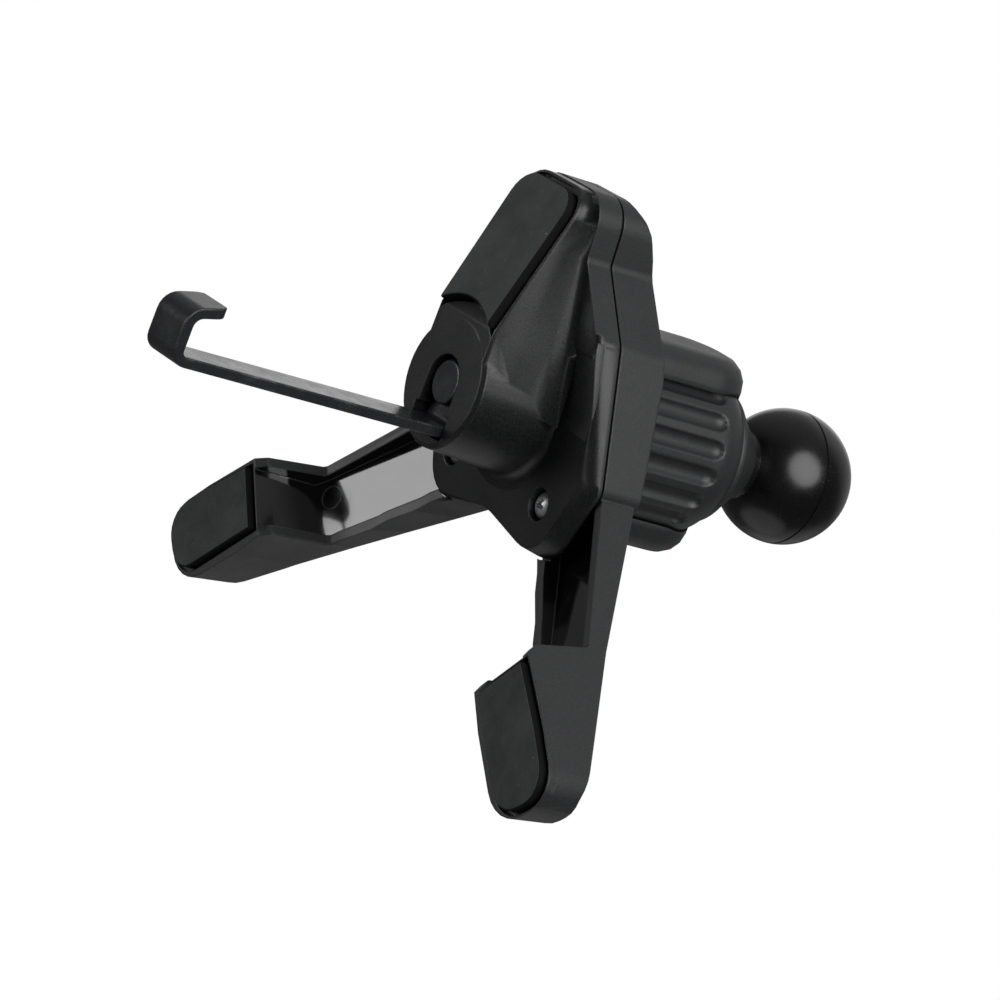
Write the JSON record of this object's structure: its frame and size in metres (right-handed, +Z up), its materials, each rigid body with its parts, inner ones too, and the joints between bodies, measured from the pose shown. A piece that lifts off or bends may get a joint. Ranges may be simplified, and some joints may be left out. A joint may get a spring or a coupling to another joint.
{
  "type": "air vent phone holder base",
  "caption": "Air-vent clip for a phone holder: padded finger and splayed padded legs, steel hook drawn in by a ribbed nut, and a ball stud behind for a cradle.",
  "frame": {"origin": "on the axis of the rod, in the plane of the rims around the two leg pads, whose faces stand 0.8 mm in front of it", "axes": "+Y along the rod from the vent to the ball, +Z up along the finger, +X to the right leg"},
  "size_m": [0.0932, 0.0996, 0.0668],
  "materials": {
    "matt_plastic": "fine matt texture",
    "glossy_plastic": "polished",
    "pad_rubber": "matt",
    "coated_steel": "thin black coating, worn at the edges",
    "zinc_steel": "zinc plated"
  },
  "bodies": {
    "base": {"front_cover": "matt_plastic", "rear_housing": "matt_plastic", "finger_pad": "pad_rubber", "left_leg_pad": "pad_rubber", "right_leg_pad": "pad_rubber", "left_cover_screw": "zinc_steel", "right_cover_screw": "zinc_steel", "finger_cover_screw": "zinc_steel", "thrust_washer": "zinc_steel"},
    "nut": {"tightening_nut": "matt_plastic", "hex_nut": "zinc_steel"},
    "drawbar": {"hook": "coated_steel", "hook_rivet": "coated_steel", "threaded_rod": "zinc_steel", "ball_stud": "glossy_plastic"}
  },
  "joints": [
    {"name": "nut_spin", "type": "hinge", "parent": "base", "child": "nut", "pos_m": [0, 0.0285, 0], "axis": [0, -1, 0], "range_deg": [0, 5040]},
    {"name": "hook_slide", "type": "slide", "parent": "base", "child": "drawbar", "axis": [0, 1, 0], "range_m": [0, 0.014]}
  ],
  "couplings": [
    {"joint": "nut_spin", "follows": "hook_slide", "rad_per_m": 6283.1}
  ]
}
